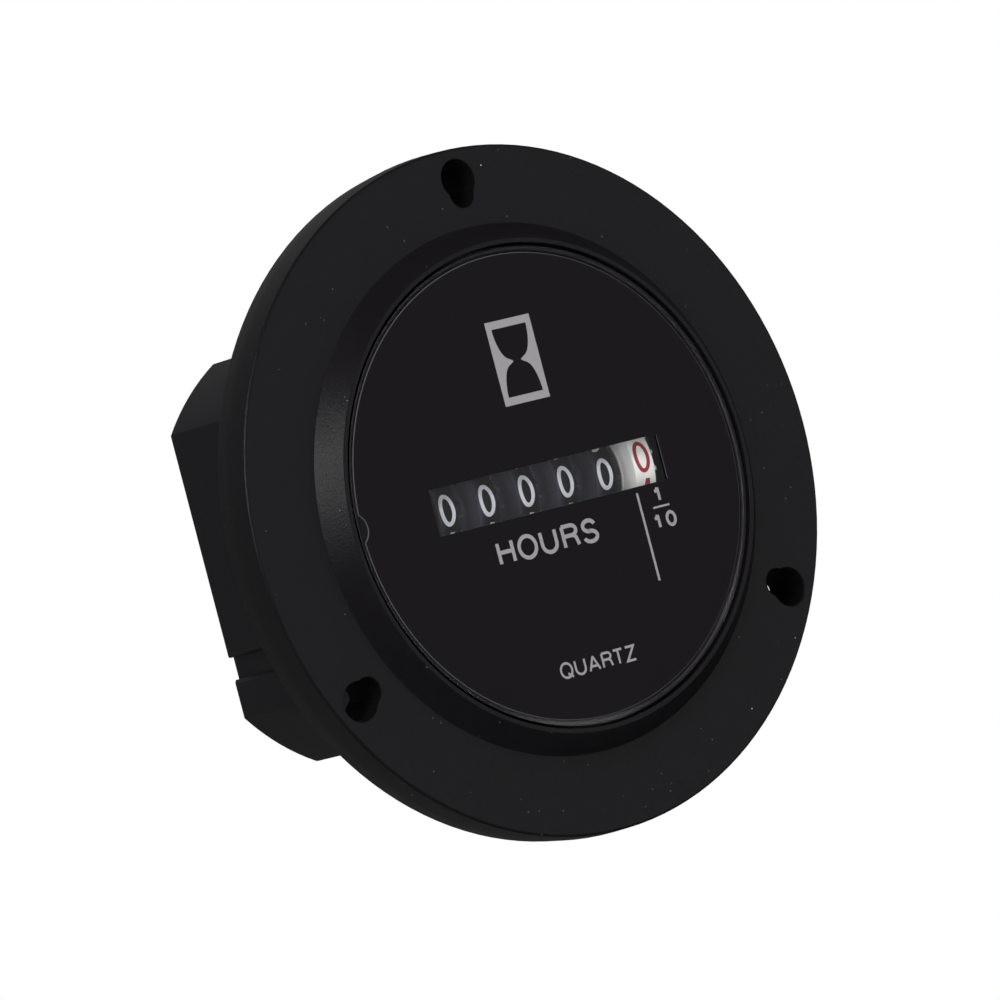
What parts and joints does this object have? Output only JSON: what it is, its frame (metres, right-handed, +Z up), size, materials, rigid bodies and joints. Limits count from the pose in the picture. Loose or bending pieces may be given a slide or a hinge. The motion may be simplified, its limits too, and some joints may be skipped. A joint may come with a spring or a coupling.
{
  "type": "hour meter",
  "caption": "Round flange-mounted hour meter: number wheels behind a window in a printed face, counted up by a quartz-timed motor in a flat-sided drum case with blade terminals.",
  "frame": {"origin": "centre of the bolt circle, on the flange's rear face that lies on the panel", "axes": "+X right as the dial is read, +Y into the panel, +Z up"},
  "size_m": [0.072, 0.0456, 0.072],
  "materials": {
    "flange_moulding": "satin",
    "case_moulding": "satin",
    "clear_lens": "gloss",
    "face_film": "matte",
    "black_wheel": "satin",
    "white_wheel": "satin",
    "natural_plastic": "satin",
    "frame_sheet": "satin",
    "steel": "satin",
    "core_iron": "satin",
    "screw_steel": "satin",
    "bobbin_plastic": "satin",
    "copper_wire": "gloss",
    "tinned_wire": "satin",
    "brass": "satin",
    "magnet_ferrite": "matte",
    "board_laminate": "satin",
    "crystal_can": "gloss",
    "chip_plastic": "matte",
    "capacitor_sleeve": "gloss",
    "resistor_body": "satin",
    "diode_body": "satin",
    "terminal_metal": "satin"
  },
  "bodies": {
    "case": {"flange_bezel": "flange_moulding", "lens": "clear_lens", "face_overlay": "face_film", "housing": "case_moulding", "counter_frame": "frame_sheet", "wheel_shaft": "steel", "pinion_shaft": "steel", "second_stud": "steel", "first_stud": "steel", "stator": "core_iron", "coil_core": "core_iron", "coil_bobbin": "bobbin_plastic", "coil_winding": "copper_wire", "coil_pins": "tinned_wire", "motor_bridge": "natural_plastic", "motor_pillars": "brass", "motor_screws": "screw_steel", "circuit_board": "board_laminate", "quartz_crystal": "crystal_can", "timer_chip": "chip_plastic", "capacitor": "capacitor_sleeve", "resistor": "resistor_body", "diode": "diode_body", "terminal_positive": "terminal_metal", "terminal_negative": "terminal_metal", "frame_screws": "screw_steel", "board_screws": "screw_steel"},
    "tenths_wheel": {"wheel_tenths": "white_wheel"},
    "units_wheel": {"wheel_units": "black_wheel"},
    "tens_wheel": {"wheel_tens": "black_wheel"},
    "hundreds_wheel": {"wheel_hundreds": "black_wheel"},
    "thousands_wheel": {"wheel_thousands": "black_wheel"},
    "ten_thousands_wheel": {"wheel_ten_thousands": "black_wheel"},
    "units_carry": {"carry_pinion_units": "natural_plastic"},
    "tens_carry": {"carry_pinion_tens": "natural_plastic"},
    "hundreds_carry": {"carry_pinion_hundreds": "natural_plastic"},
    "thousands_carry": {"carry_pinion_thousands": "natural_plastic"},
    "ten_thousands_carry": {"carry_pinion_ten_thousands": "natural_plastic"},
    "second_reduction": {"second_gear": "natural_plastic"},
    "first_reduction": {"first_gear": "natural_plastic"},
    "motor_rotor": {"rotor_arbor": "natural_plastic", "rotor_magnet": "magnet_ferrite"}
  },
  "joints": [
    {"name": "tenths_wheel_spin", "type": "hinge", "parent": "case", "child": "tenths_wheel", "pos_m": [0, 0.0013, 0], "axis": [-1, 0, 0], "continuous": true},
    {"name": "units_wheel_spin", "type": "hinge", "parent": "case", "child": "units_wheel", "pos_m": [0, 0.0013, 0], "axis": [-1, 0, 0], "continuous": true},
    {"name": "tens_wheel_spin", "type": "hinge", "parent": "case", "child": "tens_wheel", "pos_m": [0, 0.0013, 0], "axis": [-1, 0, 0], "continuous": true},
    {"name": "hundreds_wheel_spin", "type": "hinge", "parent": "case", "child": "hundreds_wheel", "pos_m": [0, 0.0013, 0], "axis": [-1, 0, 0], "continuous": true},
    {"name": "thousands_wheel_spin", "type": "hinge", "parent": "case", "child": "thousands_wheel", "pos_m": [0, 0.0013, 0], "axis": [-1, 0, 0], "continuous": true},
    {"name": "ten_thousands_wheel_spin", "type": "hinge", "parent": "case", "child": "ten_thousands_wheel", "pos_m": [0, 0.0013, 0], "axis": [-1, 0, 0], "continuous": true},
    {"name": "units_carry_spin", "type": "hinge", "parent": "case", "child": "units_carry", "pos_m": [0, 0.00872, 0], "axis": [-1, 0, 0], "continuous": true},
    {"name": "tens_carry_spin", "type": "hinge", "parent": "case", "child": "tens_carry", "pos_m": [0, 0.00872, 0], "axis": [-1, 0, 0], "continuous": true},
    {"name": "hundreds_carry_spin", "type": "hinge", "parent": "case", "child": "hundreds_carry", "pos_m": [0, 0.00872, 0], "axis": [-1, 0, 0], "continuous": true},
    {"name": "thousands_carry_spin", "type": "hinge", "parent": "case", "child": "thousands_carry", "pos_m": [0, 0.00872, 0], "axis": [-1, 0, 0], "continuous": true},
    {"name": "ten_thousands_carry_spin", "type": "hinge", "parent": "case", "child": "ten_thousands_carry", "pos_m": [0, 0.00872, 0], "axis": [-1, 0, 0], "continuous": true},
    {"name": "second_reduction_spin", "type": "hinge", "parent": "case", "child": "second_reduction", "pos_m": [0, 0.00566, -0.006], "axis": [-1, 0, 0], "continuous": true},
    {"name": "first_reduction_spin", "type": "hinge", "parent": "case", "child": "first_reduction", "pos_m": [0, 0.01189, -0.00655], "axis": [-1, 0, 0], "continuous": true},
    {"name": "motor_rotor_spin", "type": "hinge", "parent": "case", "child": "motor_rotor", "pos_m": [0, 0.01648, -0.00269], "axis": [-1, 0, 0], "continuous": true}
  ],
  "couplings": [
    {"joint": "units_wheel_spin", "follows": "tenths_wheel_spin", "ratio": 0.1},
    {"joint": "tens_wheel_spin", "follows": "tenths_wheel_spin", "ratio": 0.01},
    {"joint": "hundreds_wheel_spin", "follows": "tenths_wheel_spin", "ratio": 0.001},
    {"joint": "thousands_wheel_spin", "follows": "tenths_wheel_spin", "ratio": 0.0001},
    {"joint": "ten_thousands_wheel_spin", "follows": "tenths_wheel_spin", "ratio": 0.00001},
    {"joint": "units_carry_spin", "follows": "tenths_wheel_spin", "ratio": -0.25},
    {"joint": "tens_carry_spin", "follows": "tenths_wheel_spin", "ratio": -0.025},
    {"joint": "hundreds_carry_spin", "follows": "tenths_wheel_spin", "ratio": -0.0025},
    {"joint": "thousands_carry_spin", "follows": "tenths_wheel_spin", "ratio": -0.00025},
    {"joint": "ten_thousands_carry_spin", "follows": "tenths_wheel_spin", "ratio": -0.000025},
    {"joint": "second_reduction_spin", "follows": "tenths_wheel_spin", "ratio": -2.5},
    {"joint": "first_reduction_spin", "follows": "tenths_wheel_spin", "ratio": 10},
    {"joint": "motor_rotor_spin", "follows": "tenths_wheel_spin", "ratio": -50}
  ]
}
